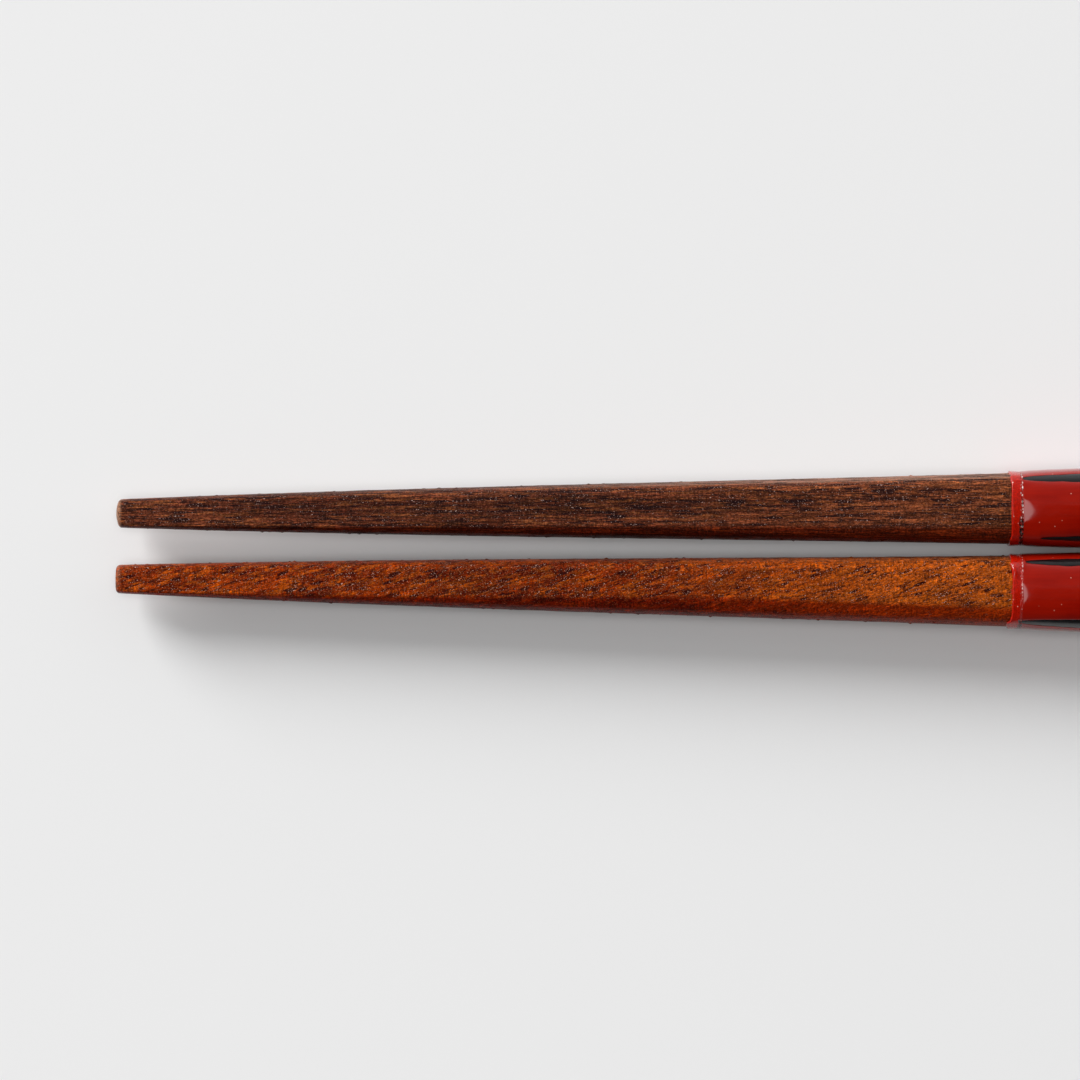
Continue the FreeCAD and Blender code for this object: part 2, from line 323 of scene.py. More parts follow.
def make_wood(stick, seed):
    """A stick's wood: the rounded tip, the bare part with open grain, the hidden handle part.

    Rows run from the middle of the tip's end, round its quarter-circle rim, along the stick
    and round the butt to the middle of its end. On the bare part the plane has left a flat
    along the upper and the lower face, the fibres stand a hundredth of a millimetre proud,
    and here and there a hard nib stands out a little more. Behind the rim all of that grows
    from nothing over TEXTURE_START. The tip's end is worn round, by TIP_WEAR at its rim.
    The attribute smooth_side is 1 where the near side is planed smoother, and there the colour
    is also painted darker as shade. A second attribute is 1 on the upper half of the far side,
    where a pale sheen is painted.
    """
    rim = np.linspace(0, np.pi / 2, RIM_POINTS)
    tip_rim = rim[:-1]
    bare = np.linspace(TIP_ROUNDING, BARE_LENGTH, int(BARE_LENGTH / WOOD_STEP))
    hidden = np.arange(BARE_LENGTH + UNDER_BEAD, BUTT_AT, HIDDEN_STEP)
    section_at = np.concatenate([np.full(len(tip_rim), TIP_ROUNDING), bare, hidden,
                                 np.full(len(rim), BUTT_AT)])
    station = np.concatenate([TIP_ROUNDING * (1 - np.cos(tip_rim)), bare, hidden,
                              BUTT_AT + BUTT_ROUNDING * np.sin(rim)])
    inset = np.concatenate([TIP_ROUNDING * (1 - np.sin(tip_rim)),
                            np.zeros(len(bare) + len(hidden)),
                            BUTT_ROUNDING * (1 - np.cos(rim))])
    y, z, angle = whole_ring(section_at, WOOD_COLUMNS)
    rows, columns = y.shape
    lengths = (rows * WOOD_STEP, 4 * np.max(side_length(bare)))
    fibres = random_field(seed, y.shape, lengths, FIBRE_SIZES)
    nibs = random_field(seed + 1, y.shape, lengths, NIB_SIZES)
    half = wood_size(section_at)[0][:, None]
    edge = flat_edge(station, y, stick)
    height = FIBRE_RELIEF * fibres + NIB_HEIGHT * ramp(nibs, NIB_FROM, NIB_FROM + 1)
    height += planed_flat(station, edge, half, y, z)
    height *= ramp(station, TIP_ROUNDING, TIP_ROUNDING + TEXTURE_START)[:, None]
    bare_part = (section_at <= BARE_LENGTH)[:, None]
    height = np.where(bare_part, height, 0) - inset[:, None]
    points = skin(station, y, z, angle, height)
    shrink = (np.arange(CAP_RINGS) / CAP_RINGS)[:, None, None]
    middle = points[[0, -1]].mean(axis=1)
    tip_cap = middle[0] + (points[0] - middle[0]) * shrink
    butt_cap = middle[1] + (points[-1] - middle[1]) * shrink[::-1]
    points = np.concatenate([tip_cap, points, butt_cap])
    off_axis = (points[..., 1]**2 + points[..., 2]**2) / half[0]**2
    points[..., 0] += TIP_WEAR[stick] * off_axis * np.exp(-points[..., 0] / TIP_WEAR_RUN)
    faces = grid_faces(len(points), columns, closed=True)
    # The near side, planed smoother; its colour is also painted darker there as shade.
    smooth = ramp(-y / half, edge - SMOOTH_BLEND / 2, edge + SMOOTH_BLEND / 2) * (y < 0)
    # The upper half of the far side, where a pale sheen is painted on the wood.
    far = ramp(np.cos(angle), 0.80, 0.92) * ramp(np.sin(angle), -0.1, 0)
    smooth, far = (np.pad(part, ((CAP_RINGS, CAP_RINGS), (0, 0))) for part in (smooth, far))
    return make_piece(f"{stick}_wood", stick, points, faces, merge=1e-4, smooth_side=smooth,
                      far_side=far)


def noise(tree, sizes, slant=0.0, seed=0.0, detail=2.0, roughness=0.6, curl=0.0):
    """Noise from 0 to 1 whose features have these sizes along, across and up, in mm.

    Nearly all of it lies between 0.3 and 0.7, so ramps over it run within that span.
    """
    return add(tree, "ShaderNodeTexNoise", {
        "Vector": stretched(tree, sizes, slant), "W": seed, "Scale": 1.0,
        "Detail": detail, "Roughness": roughness, "Distortion": curl,
    }, noise_dimensions="4D").outputs[0]


def shaded(tree, tone, value, low, high, dark, bright):
    """A colour times a factor that runs from dark to bright as a value goes from low to high."""
    factor = add(tree, "ShaderNodeMapRange", {"Value": value, "From Min": low, "From Max": high,
                                              "To Min": dark, "To Max": bright}).outputs[0]
    return add(tree, "ShaderNodeVectorMath", {0: tone, "Scale": factor},
               operation="SCALE").outputs[0]


def dashes(tree, sizes, slant, seed, width):
    """Spindle-shaped dashes along the grain: cells drawn out, their outlines warped by noise.

    width is the share of a cell that its dash takes, a value or a socket.
    """
    place = stretched(tree, sizes, slant)
    warp = add(tree, "ShaderNodeTexNoise", {"Vector": place, "Scale": 2.3, "Detail": 2.0})
    shift = add(tree, "ShaderNodeVectorMath", {0: warp.outputs["Color"], "Scale": 0.35},
                operation="SCALE")
    moved = add(tree, "ShaderNodeVectorMath", {0: place, 1: shift.outputs[0]}, operation="ADD")
    cells = add(tree, "ShaderNodeTexVoronoi", {"Vector": moved.outputs[0], "W": seed,
                                               "Scale": 1.0}, voronoi_dimensions="4D")
    return between(tree, maths(tree, "SUBTRACT", width, cells.outputs["Distance"]), -0.03, 0.05)


LONE_PORE_WIDTH = 0.12


def wood_material(stick, look):
    """Hardwood under wiped clear lacquer: figure, fibres, pores and glints.

    The ground is zones of two browns with orange lines, paler towards the neck and the tip,
    under fibres of four sizes and cross ripples in patches, with pale flecks painted on as a
    soft sheen. The near side is planed smoother and its colour painted darker as shade, and a
    pale sheen is painted along the upper far side. Pores and streaks are near-black dashes,
    broken along their length, and some carry painted glints, pale specks in the colour, where
    lacquer has beaded in them. At the tip's end the finish is worn and painted pale, partly as
    a highlight. The lacquer is wiped so thin that it mirrors little, so its IOR is low, and a
    usual one would lay a grey veil over the wood.
    """
    material = bpy.data.materials.new(f"{stick}_hardwood_wiped_lacquer")
    material.use_nodes = True
    tree = material.node_tree
    surface = tree.nodes["Principled BSDF"]
    slant = look["slant"]
    place = add(tree, "ShaderNodeAttribute", attribute_name="stick_mm")
    station = add(tree, "ShaderNodeSeparateXYZ", {0: place.outputs["Vector"]}).outputs[0]

    # The ground: zones, lines, the neck, fibres, ripples, the lift of both ends, painted sheen
    # flecks.
    zones = noise(tree, look["zone_mm"], slant * 0.5, seed=1.0, detail=3.0)
    tone = blend(tree, between(tree, zones, 0.38, 0.62), colour(look["deep"]),
                 colour(look["light"]))
    glow = between(tree, noise(tree, look["glow_mm"], slant, seed=5.0, curl=look["curl"]),
                   0.50, 0.62)
    tone = blend(tree, maths(tree, "MULTIPLY", glow, look["glow"]), tone, colour(look["orange"]))
    neck = maths(tree, "MULTIPLY", between(tree, station, 48, 84), look["neck_share"])
    tone = blend(tree, neck, tone, colour(look["neck"]))
    for number, (sizes, dark, bright) in enumerate(look["fibres"]):
        fibre = noise(tree, sizes, slant, seed=9.0 + number, detail=1.5, curl=look["curl"])
        tone = shaded(tree, tone, fibre, 0.43, 0.57, dark, bright)
    ripple = noise(tree, (0.15, 0.8, 0.8), seed=12.0, detail=0.0)
    rippled = shaded(tree, tone, ripple, 0.35, 0.65, 1 - look["ripple"], 1 + look["ripple"])
    patches = between(tree, noise(tree, (4, 1.2, 1.2), seed=13.0), 0.46, 0.56)
    tone = blend(tree, patches, tone, rippled)
    rise = maths(tree, "MULTIPLY", between(tree, station, 40, 85), look["neck_lift"])
    rise = add(tree, "ShaderNodeMath", {0: between(tree, station, 38, 8), 1: look["tip_lift"],
                                        2: rise}, operation="MULTIPLY_ADD").outputs[0]
    tone = shaded(tree, tone, rise, 0, 1, 1, 2)
    spark = noise(tree, look["glint_mm"], slant, seed=50.0, detail=1.0)
    # Painted sheen: soft pale flecks in the colour.
    sheen_fleck = maths(tree, "MULTIPLY", between(tree, spark, 0.52, 0.66), look["sheen_fleck_share"])
    tone = blend(tree, sheen_fleck, tone, colour(look["sheen_fleck"]))

    # The near side, planed smoother and painted darker as shade, and the painted sheen on the far
    # side.
    smooth = add(tree, "ShaderNodeAttribute", attribute_name="smooth_side").outputs["Fac"]
    # Painted shade: the near side's colour is tinted darker and redder.
    tone = blend(tree, smooth, tone, colour(look["near_shade_tint"]), "MULTIPLY")
    far = add(tree, "ShaderNodeAttribute", attribute_name="far_side").outputs["Fac"]
    # Painted sheen: a pale strip along the upper far side, stronger towards the neck.
    paler = maths(tree, "MULTIPLY", maths(tree, "MULTIPLY", far, between(tree, station, 30, 75)),
                  look["far_sheen_share"])
    tone = blend(tree, paler, tone, colour("#FCC8A8"))

    # Pores and streaks, the painted glints in them, and the worn tip with its painted highlight.
    crowd = between(tree, noise(tree, look["crowd_mm"], slant, seed=15.0), 0.38, 0.62)
    width = add(tree, "ShaderNodeMath", {0: crowd, 1: look["pore_width"], 2: LONE_PORE_WIDTH},
                operation="MULTIPLY_ADD").outputs[0]
    pits = dashes(tree, look["pore_mm"], slant, seed=3.0, width=width)
    for number, (sizes, low, share) in enumerate(look["streaks"]):
        streak = between(tree, noise(tree, sizes, slant, seed=21.0 + number), low, low + 0.04)
        pits = maths(tree, "MAXIMUM", pits, maths(tree, "MULTIPLY", streak, share))
    grain = noise(tree, (0.30, 0.14, 0.14), slant, seed=30.0, roughness=0.7)
    broken = maths(tree, "MULTIPLY", pits, between(tree, grain, 0.30, 0.44))
    open_share = add(tree, "ShaderNodeMapRange", {"Value": smooth, "To Min": 1.0,
                                                  "To Max": 0.4}).outputs[0]
    broken = maths(tree, "MULTIPLY", broken, open_share)
    tone = blend(tree, maths(tree, "MULTIPLY", broken, look["pore_dark"]), tone,
                 colour(look["pore"]))
    # Painted glints: pale specks in the colour, mostly in the pores.
    glint = maths(tree, "MULTIPLY", between(tree, spark, look["glints"], look["glints"] + 0.05),
                  maths(tree, "MAXIMUM", broken, 0.10))
    glint = maths(tree, "MULTIPLY", glint, open_share)
    tone = blend(tree, maths(tree, "MULTIPLY", glint, look["glint_share"]), tone,
                 colour(look["glint"]))
    # The tip's end, worn and painted pale, partly as a highlight.
    worn = maths(tree, "MULTIPLY", between(tree, station, 0.75, 0.25),
                 between(tree, grain, 0.35, 0.60))
    tone = blend(tree, maths(tree, "MULTIPLY", worn, look["tip_wear_and_highlight"]), tone, colour("#B08468"))

    # Relief, and a duller surface in the pores.
    grit = noise(tree, (0.22, 0.13, 0.13), slant, seed=40.0, roughness=0.7)
    height = maths(tree, "SUBTRACT", maths(tree, "MULTIPLY", grit, look["grit"]),
                   maths(tree, "MULTIPLY", broken, 0.25))
    bump = add(tree, "ShaderNodeBump", {"Height": height, "Strength": 1.0, "Distance": 0.0001})
    rough = add(tree, "ShaderNodeMapRange", {"Value": broken, "To Min": 0.28,
                                             "To Max": 0.50}).outputs[0]
    tree.links.new(tone, surface.inputs["Base Color"])
    tree.links.new(bump.outputs[0], surface.inputs["Normal"])
    tree.links.new(rough, surface.inputs["Roughness"])
    surface.inputs["IOR"].default_value = 1.12
    return material


# Sizes are in mm along, across and up the stick, and the slant is in degrees. curl bends the
# figure, pore_width is how much more of its cell a pore takes where pores crowd, and glints is
# the noise level at which glints start. Each set of fibres has its sizes and its darkest and
# brightest factor, and each set of streaks its sizes, the noise level at which they start and
# its strength. The other numbers are strengths, from 0 to 1.
# The flecks, the glints and the far side's pale share are painted sheen and highlights, and the
# near side's tint is painted shade.
WOOD_LOOKS = {
    "dark": {
        "slant": 0.0, "zone_mm": (20, 1.3, 1.3), "deep": "#38170D", "light": "#5B2C1A",
        "glow_mm": (5.0, 0.24, 0.24), "glow": 0.45, "orange": "#804824", "curl": 0.2,
        "neck": "#6E3A1E", "neck_share": 0.30,
        "fibres": (((8.0, 0.45, 0.45), 0.80, 1.20), ((3.0, 0.16, 0.16), 0.68, 1.32),
                   ((0.8, 0.11, 0.11), 0.68, 1.32), ((0.24, 0.12, 0.12), 0.54, 1.42)),
        "ripple": 0.35, "tip_lift": 0.28, "neck_lift": 0.30,
        "sheen_fleck_share": 0.14, "sheen_fleck": "#A8745A", "near_shade_tint": "#EDA688", "far_sheen_share": 0.15,
        "crowd_mm": (9, 0.9, 0.9), "pore_mm": (3.0, 0.32, 0.32), "pore_width": 0.36,
        "pore_dark": 0.90, "pore": "#180B0E",
        "streaks": (((7.0, 0.26, 0.26), 0.555, 0.9), ((2.4, 0.16, 0.16), 0.570, 0.85)),
        "glint_mm": (0.15, 0.09, 0.09), "glints": 0.64, "glint_share": 0.75,
        "glint": "#D8B4A8", "tip_wear_and_highlight": 0.9, "grit": 0.90,
    },
    "amber": {
        "slant": -17.0, "zone_mm": (7, 1.4, 1.4), "deep": "#571300", "light": "#7B2800",
        "glow_mm": (2.2, 0.55, 0.55), "glow": 0.6, "orange": "#984204", "curl": 0.9,
        "neck": "#96480C", "neck_share": 0.50,
        "fibres": (((5.0, 0.8, 0.8), 0.86, 1.14), ((1.5, 0.18, 0.18), 0.80, 1.20),
                   ((0.45, 0.18, 0.18), 0.78, 1.22), ((0.22, 0.13, 0.13), 0.56, 1.36)),
        "ripple": 0.40, "tip_lift": 0.34, "neck_lift": 0.38,
        "sheen_fleck_share": 0.16, "sheen_fleck": "#D09058", "near_shade_tint": "#DE9C58", "far_sheen_share": 0.02,
        "crowd_mm": (3.0, 0.7, 0.7), "pore_mm": (1.6, 0.42, 0.42), "pore_width": 0.34,
        "pore_dark": 0.92, "pore": "#240404",
        "streaks": (((2.4, 0.32, 0.32), 0.560, 0.75), ((0.8, 0.15, 0.15), 0.58, 0.8)),
        "glint_mm": (0.14, 0.09, 0.09), "glints": 0.62, "glint_share": 0.80,
        "glint": "#F0BCA8", "tip_wear_and_highlight": 0.3, "grit": 0.80,
    },
}
for seed, stick in enumerate(SIDE):
    wood = make_wood(stick, seed=10 * seed + 3)
    wood.data.materials.append(wood_material(stick, WOOD_LOOKS[stick]))
    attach(wood, "root")
    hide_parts(f"{stick}_stick_wood")


# The black undercoat of the two handles: one brushed coat of black lacquer, which starts just
# behind the red's front edge. It shows only where the red has been rubbed off the four corners,
# and there the rubbing has left it satin and finely scratched along the stick.

BLACK_SETBACK = 0.35
BLACK_AT = BARE_LENGTH + BLACK_SETBACK
BLACK_ROW = 0.5
BLACK_COLUMNS = 24
BLACK_RELIEF = 0.006
BLACK_WAVE_SIZES = (2.5, 0.5)
BUTT_RIM_ROWS = 8


def coat_rows(steps, rounding):
    """Section station, station and inset of each row of a coat, round to the butt's face.

    After the steps along the stick, a quarter circle of radius rounding turns the rows in.
    """
    rim = np.linspace(0, np.pi / 2, BUTT_RIM_ROWS + 1)[1:]
    section_at = np.concatenate([steps, np.full(len(rim), BUTT_AT)])
    station = np.concatenate([steps, BUTT_AT + rounding * np.sin(rim)])
    inset = np.concatenate([np.zeros(len(steps)), rounding * (1 - np.cos(rim))])
    return section_at, station, inset


def cap(ring_points):
    """Rings that close the butt's flat end, from a coat's last ring in to its middle."""
    middle = ring_points.mean(axis=0)
    shrink = (np.arange(CAP_RINGS)[::-1] / CAP_RINGS)[:, None, None]
    return middle + (ring_points - middle) * shrink


def make_black(stick, seed):
    """The undercoat: an outer and an inner skin, joined by a wall at the front.

    Its rows run forward along the inner skin, which is the wood's own surface, from the
    middle of the butt, then out at the front wall and back over the outer skin to the butt.
    """
    steps = np.linspace(BLACK_AT, BUTT_AT, int((BUTT_AT - BLACK_AT) / BLACK_ROW))
    section_at, station, inset = coat_rows(steps, BUTT_ROUNDING + BLACK_COAT)
    y, z, angle = whole_ring(section_at, BLACK_COLUMNS)
    lengths = (STICK_LENGTH - BLACK_AT, 4 * side_length(BUTT_AT))
    waves = random_field(seed, y.shape, lengths, BLACK_WAVE_SIZES)
    height = BLACK_COAT + BLACK_RELIEF * waves - inset[:, None]
    outer = skin(station, y, z, angle, height)
    wood_station, wood_inset = coat_rows(steps, BUTT_ROUNDING)[1:]
    inner = skin(wood_station, y, z, angle, -wood_inset[:, None])
    outer = np.concatenate([outer, cap(outer[-1])])
    inner = np.concatenate([inner, cap(inner[-1])])
    points = np.concatenate([inner[::-1], outer])
    faces = grid_faces(len(points), points.shape[1], closed=True)
    return make_piece(f"{stick}_black_undercoat", stick, points, faces, merge=1e-4)


def black_material():
    """Black lacquer rubbed bare: satin, a little uneven, with fine scratches along the stick."""
    material = bpy.data.materials.new("black_lacquer_rubbed")
    material.use_nodes = True
    tree = material.node_tree
    surface = tree.nodes["Principled BSDF"]
    scratch = noise(tree, (2.5, 0.14, 0.14), seed=1.0, detail=4.0, roughness=0.65)
    grit = noise(tree, (0.2, 0.15, 0.15), seed=2.0)
    tone = blend(tree, between(tree, scratch, 0.35, 0.75), colour("#080607"), colour("#1E1C1E"))
    height = maths(tree, "ADD", scratch, grit)
    bump = add(tree, "ShaderNodeBump", {"Height": height, "Strength": 0.4, "Distance": 0.00004})
    tree.links.new(tone, surface.inputs["Base Color"])
    tree.links.new(bump.outputs[0], surface.inputs["Normal"])
    surface.inputs["Roughness"].default_value = 0.20
    surface.inputs["IOR"].default_value = 1.5
    return material


black_lacquer = black_material()
for seed, stick in enumerate(SIDE):
    undercoat = make_black(stick, seed=10 * seed + 41)
    undercoat.data.materials.append(black_lacquer)
    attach(undercoat, "root")
    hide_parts(f"{stick}_stick_black_undercoat")


# The red topcoat of the two handles: lacquer brushed thickly over the black and drawn to a
# raised bead at its front edge, on bare wood. It is rubbed through along the four corners,
# and there its surface runs down to nothing along an edge that wanders a little.

BEAD_LENGTH = 1.1
BEAD_HEIGHT = 0.235
BEAD_FALL = 0.09
BEAD_FRONT = 0.16
BEAD_BACK = 0.09
BEAD_LUMPS = 0.2
LUMP_WAVES = (5, 24)
RAGGED = 0.03
RAGGED_WAVES = (8, 60)
EDGE_WANDER = 0.035
EDGE_WAVES = (2, 14)
GROOVE_AT = BARE_LENGTH + BEAD_LENGTH
GROOVE_DEPTH = {"dark": 0.11, "amber": 0.05}
GROOVE_PIT = 0.035
PIT_RUN = 0.07
SWELL_RUN = {"dark": 1.1, "amber": 0.6}
RED_TRIM = 0.012
BEAD_ROW = 0.045
ROWS_PAST_GROOVE = 0.2
HANDLE_ROW = 0.05
ROW_GROWTH = 1.055
LONGEST_ROW = 1.6
LAST_ROW = 0.5
RED_COLUMNS = 46
WEAR_RUN = 6.0
WEAR_OPENING = 0.38
WEAR_END = 2.0
WEAR_FEATHER = 0.35
WEAR_WANDER = 0.035
WANDER_PITCHES = (0.4, 0.9, 1.7, 3.1)
NARROWEST_WEAR = 0.02
# For each corner, from the one between +Y and -Z round to the one between +Z and +Y and on:
# where its wear starts behind the groove, how wide it grows, and how far its middle lies
# past the corner's crest.
WEAR = {
    "dark": ((1.2, 0.9, 0), (0.1, 1.15, 0), (1.9, 0.75, 0), (3.1, 0.75, 0)),
    "amber": ((2.6, 0.7, 0), (0.4, 0.95, 0.08), (0.05, 1.45, 0.32), (1.6, 0.9, 0)),
}
# A drop that stayed on the upper side of the bead: how far towards +Y and behind the edge its
# middle is, and its height. On the dark stick it is hardly there.
DROP = {"dark": (2.4, 0.30, 0.02), "amber": (2.1, 0.40, 0.20)}
DROP_SPREAD = (0.60, 0.40)
# Where the front edge runs out over the wood, or stays back where the reach is negative: the
# outward angle in degrees, the reach, and the angle over which it fades. The coat behind the
# edge follows it over FLARE_RUN.
FLARE = {"dark": ((165, 0.10, 25),), "amber": ((158, 0.40, 20), (98, -0.15, 38), (62, 0.14, 10))}
FLARE_RUN = 0.6


def red_rows():
    """Stations of the red's rows: close over the bead, wider and wider along the handle.

    On the handle each gap is ROW_GROWTH times the one before, up to LONGEST_ROW.
    """
    front = BARE_LENGTH + BEAD_FRONT * (1 - np.cos(np.linspace(0, np.pi / 2, RIM_POINTS)[:-1]))
    bead = np.arange(BARE_LENGTH + BEAD_FRONT, GROOVE_AT + ROWS_PAST_GROOVE, BEAD_ROW)
    enough = int(STICK_LENGTH / HANDLE_ROW)
    gaps = np.minimum(HANDLE_ROW * ROW_GROWTH**np.arange(enough), LONGEST_ROW)
    handle = bead[-1] + np.cumsum(gaps)
    handle = handle[handle < BUTT_AT - LAST_ROW]
    return np.concatenate([front, bead, handle, [BUTT_AT]])


def wobble(angle, seed, waves):
    """Random waves round a stick by outward angle, with a mean square of one.

    waves gives the fewest waves in a turn, and the number that they stay under.
    """
    random = np.random.default_rng(seed)
    counts = np.arange(*waves)
    phases = random.uniform(0, 2 * np.pi, len(counts))
    total = sum(np.cos(count * angle + phase) for count, phase in zip(counts, phases))
    return total * np.sqrt(2 / len(counts))


def red_height(stick, behind, angle, seed):
    """Height of the red above the wood, by the distance behind its front edge.

    The bead rises as a quarter ellipse over BEAD_FRONT, falls a little and unevenly towards
    its back, and drops over BEAD_BACK to the groove along a ragged line. Behind that line the
    coat comes back to its full thickness as 1 - exp(-x / SWELL_RUN), and along it lies a
    narrow pit, GROOVE_PIT times exp(-(x / PIT_RUN)^2).
    """
    rise = ramp(behind, 0, BEAD_FRONT)
    lumps = 1 + BEAD_LUMPS * wobble(angle, seed, LUMP_WAVES)
    fall = BEAD_FALL * ramp(behind, 0, BEAD_LENGTH) * lumps
    bead = np.sqrt(rise * (2 - rise)) * (BEAD_HEIGHT - fall)
    past = behind - BEAD_LENGTH - RAGGED * wobble(angle, seed + 1, RAGGED_WAVES)
    on_bead = ramp(past, 0, -BEAD_BACK)
    pit = GROOVE_PIT * np.exp(-(past / PIT_RUN)**2)
    sunk = GROOVE_DEPTH[stick] * np.exp(-np.maximum(past, 0) / SWELL_RUN[stick])
    coat = COATS - RED_TRIM - sunk
    return coat + (bead - coat) * on_bead**2 * (3 - 2 * on_bead) - pit


def wear_reach(stick, corner, station, seed):
    """How far a worn strip reaches before its corner's crest, and how far past it.

    Half its width opens from a point, as the grown share to the power WEAR_OPENING, closes
    before the butt as a square root, and wanders by sines of different pitch. past shifts
    the strip's middle past the crest, in proportion to its width.
    """
    start, width, past = WEAR[stick][corner]
    grow = ramp(station - GROOVE_AT - start, 0, WEAR_RUN)
    fade = ramp(STICK_LENGTH - WEAR_END - station, 0, WEAR_RUN)
    phases = np.random.default_rng(seed).uniform(0, 2 * np.pi, len(WANDER_PITCHES))
    wander = sum(np.sin(station * pitch + phase) / 2
                 for pitch, phase in zip(WANDER_PITCHES, phases))
    half = width / 2 * grow**WEAR_OPENING * np.sqrt(fade)
    wandering = half + WEAR_WANDER * wander * np.sqrt(grow)
    half = np.where(half > 0, np.maximum(wandering, NARROWEST_WEAR), 0)
    return half * (1 - 2 * past / width), half * (1 + 2 * past / width)


def make_red(stick, seed):
    """The topcoat: four panels between the worn corners, outer and inner skin together.

    Side k lies between corner k and corner k + 1. Where a corner is not worn the panels'
    edges coincide and are merged; where it is worn, the outer skin comes down to the black
    along 1 - exp(-d / WEAR_FEATHER), with d the distance from the strip's edge. Columns
    stand closer near the strips: they are halfway between even steps and a cosine's. The
    two skins meet at the front edge.
    """
    steps = red_rows()
    section_at, station, inset = coat_rows(steps, BUTT_ROUNDING + COATS)
    length = side_length(section_at)
    even = np.linspace(0, 1, RED_COLUMNS)
    share = 0.5 * even + 0.5 * (1 - np.cos(np.pi * even)) / 2
    parts = []
    for side in range(4):
        following = (side + 1) % 4
        start = wear_reach(stick, side, station, seed + side)[1]
        end = wear_reach(stick, following, station, seed + following)[0]
        run = start[:, None] + (length - start - end)[:, None] * share
        y, z, angle = ring(section_at, side, run)
        from_start = np.where(start[:, None] > 0, run - start[:, None], np.inf)
        from_end = np.where(end[:, None] > 0, (length - end)[:, None] - run, np.inf)
        left = 1 - np.exp(-np.minimum(from_start, from_end) / WEAR_FEATHER)
        parts.append((y, z, angle, left))
    y, z, angle, left = (np.hstack(values) for values in zip(*parts))
    behind = (station - BARE_LENGTH)[:, None]
    full = red_height(stick, behind, angle, seed + 20)
    drop_y, drop_at, drop_height = DROP[stick]
    drop = np.exp(-((y - drop_y) / DROP_SPREAD[0])**2 - ((behind - drop_at) / DROP_SPREAD[1])**2)
    full += np.where(z > 0, drop_height * drop, 0)
    black = np.where(station < BLACK_AT, 0, BLACK_COAT)[:, None]
    outer_height = black + (full - black) * left - inset[:, None]
    outer = skin(station, y, z, angle, outer_height)
    run_out = EDGE_WANDER * wobble(angle, seed + 22, EDGE_WAVES)
    for at, reach, spread in FLARE[stick]:
        apart = (np.degrees(angle) - at) / spread
        run_out += reach * np.exp(-apart**2)
    outer[..., 0] -= run_out * ramp(behind, FLARE_RUN, 0)
    black_station, black_inset = coat_rows(steps, BUTT_ROUNDING + BLACK_COAT)[1:]
    inner = skin(black_station, y, z, angle, black - black_inset[:, None])
    outer = np.concatenate([outer, cap(outer[-1])])
    inner = np.concatenate([inner, cap(inner[-1])])
    inner[0] = outer[0]
    points = np.concatenate([inner[::-1], outer])
    faces = grid_faces(len(points), points.shape[1], closed=True)
    column = faces[:, 0] % points.shape[1]
    seam = column % RED_COLUMNS == RED_COLUMNS - 1
    faces = faces[~seam]
    return make_piece(f"{stick}_red_topcoat", stick, points, faces, merge=2e-3)


def specks(tree, sizes, share, radius):
    """Small round spots: one in a share of the cells, as wide as a part of its cell."""
    cells = add(tree, "ShaderNodeTexVoronoi", {"Vector": stretched(tree, sizes), "Scale": 1.0})
    draw = add(tree, "ShaderNodeSeparateColor", {0: cells.outputs["Color"]}).outputs[0]
    chosen = add(tree, "ShaderNodeMath", {0: draw, 1: share}, operation="LESS_THAN").outputs[0]
    spot = between(tree, cells.outputs["Distance"], radius, radius * 0.5)
    return maths(tree, "MULTIPLY", spot, chosen)


# Bands round the ragged back of the bead: their middle, from the groove's start, and half-width.
RIM_BAND = (-0.03, 0.13)
PIT_BAND = (-0.10, 0.22)


